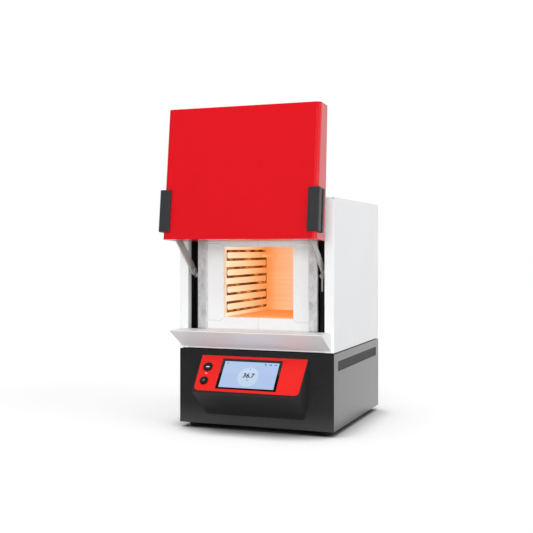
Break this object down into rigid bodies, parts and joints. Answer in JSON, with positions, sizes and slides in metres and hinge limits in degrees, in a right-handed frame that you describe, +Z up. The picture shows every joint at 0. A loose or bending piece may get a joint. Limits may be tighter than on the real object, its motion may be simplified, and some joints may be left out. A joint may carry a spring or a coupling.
{
  "type": "bench muffle furnace",
  "caption": "Bench muffle furnace with a lift-up door on parallel arms and gas struts, a fibre-lined heated chamber, a base of electronics and a sloping control console.",
  "frame": {"origin": "on the bench under the middle of the object's box, with the door open as in the picture", "axes": "+Z up, +X to the right of someone facing the door, +Y from the door towards the back"},
  "size_m": [0.435, 0.6042, 0.8454],
  "materials": {
    "dark_coated_steel": "satin",
    "black_coated_steel": "satin",
    "white_coated_steel": "satin",
    "red_coated_steel": "satin",
    "steel_sheet": "satin",
    "plated_steel": "satin",
    "turned_steel": "gloss",
    "blackened_steel": "satin",
    "black_painted_tube": "gloss",
    "charcoal_casting": "matte",
    "aluminium": "satin",
    "rubber": "matte",
    "black_moulding": "matte",
    "grey_moulding": "matte",
    "red_foil": "satin",
    "display_glass": "gloss",
    "circuit_board": "satin",
    "fibre_board": "matte",
    "ceramic": "matte",
    "element_wire": "matte"
  },
  "bodies": {
    "furnace": {"feet": "rubber", "base_tray": "dark_coated_steel", "base_front_panel": "dark_coated_steel", "base_side_panels": "dark_coated_steel", "vent_grilles": "black_coated_steel", "base_rear_panel": "dark_coated_steel", "mid_deck": "black_coated_steel", "console_housing": "black_moulding", "console_overlay": "red_foil", "display_glass": "display_glass", "display_module": "grey_moulding", "usb_port": "black_moulding", "power_switch_body": "black_moulding", "console_screws": "blackened_steel", "controller_board": "circuit_board", "relay_heat_sink": "aluminium", "solid_state_relay": "grey_moulding", "terminal_rail": "steel_sheet", "terminal_blocks": "grey_moulding", "cable_gland": "black_moulding", "side_panels": "white_coated_steel", "top_cover": "white_coated_steel", "header_panel": "white_coated_steel", "rear_panel": "white_coated_steel", "rear_screws": "turned_steel", "sill": "white_coated_steel", "inner_case": "steel_sheet", "slot_channels": "black_coated_steel", "face_strips": "steel_sheet", "front_side_boards": "fibre_board", "front_cross_boards": "fibre_board", "chamber_walls": "fibre_board", "chamber_roof": "fibre_board", "hearth_tile": "ceramic", "chamber_rear": "fibre_board", "insulation_panels": "fibre_board", "elements": "element_wire", "element_terminals": "ceramic", "thermocouple": "ceramic", "flue_tube": "ceramic", "flue_collar": "turned_steel", "collar_screws": "turned_steel", "pivot_studs": "turned_steel", "door_switch": "black_moulding"},
    "power_button": {"power_button": "black_moulding"},
    "lower_arms": {"lower_arms": "plated_steel", "tail_pins": "turned_steel"},
    "upper_arms": {"upper_arms": "plated_steel"},
    "strut_rods": {"strut_rods": "turned_steel"},
    "strut_cylinders": {"strut_cylinders": "black_painted_tube"},
    "door": {"door_shell": "red_coated_steel", "door_liner": "steel_sheet", "door_insulation": "fibre_board", "door_plug": "fibre_board", "door_brackets": "plated_steel", "door_pins": "turned_steel", "door_handles": "charcoal_casting", "handle_screws": "blackened_steel"}
  },
  "joints": [
    {"name": "door_lift", "type": "hinge", "parent": "furnace", "child": "lower_arms", "pos_m": [0, -0.15343, 0.42146], "axis": [1, 0, 0], "range_deg": [0, 104.35]},
    {"name": "upper_swing", "type": "hinge", "parent": "furnace", "child": "upper_arms", "pos_m": [0, -0.15343, 0.55821], "axis": [1, 0, 0], "range_deg": [0, 107.79]},
    {"name": "door_tilt", "type": "hinge", "parent": "lower_arms", "child": "door", "pos_m": [0, -0.26727, 0.52099], "axis": [1, 0, 0], "range_deg": [-100.76, 0]},
    {"name": "strut_swing", "type": "hinge", "parent": "lower_arms", "child": "strut_rods", "pos_m": [0, -0.14138, 0.41093], "axis": [1, 0, 0], "range_deg": [-103.02, 0]},
    {"name": "strut_stroke", "type": "slide", "parent": "strut_rods", "child": "strut_cylinders", "axis": [0, 0.0054, -1], "range_m": [0, 0.02505]},
    {"name": "power_press", "type": "slide", "parent": "furnace", "child": "power_button", "axis": [0, 0.7847, -0.6199], "range_m": [0, 0.0025], "stiffness_N_per_m": 600, "springref_m": -0.001}
  ],
  "couplings": [
    {"joint": "upper_swing", "follows": "door_lift", "ratio": 1.0328},
    {"joint": "door_tilt", "follows": "door_lift", "ratio": -0.9655},
    {"joint": "strut_swing", "follows": "door_lift", "ratio": -0.98708},
    {"joint": "strut_stroke", "follows": "door_lift", "m_per_rad": 0.013744}
  ]
}
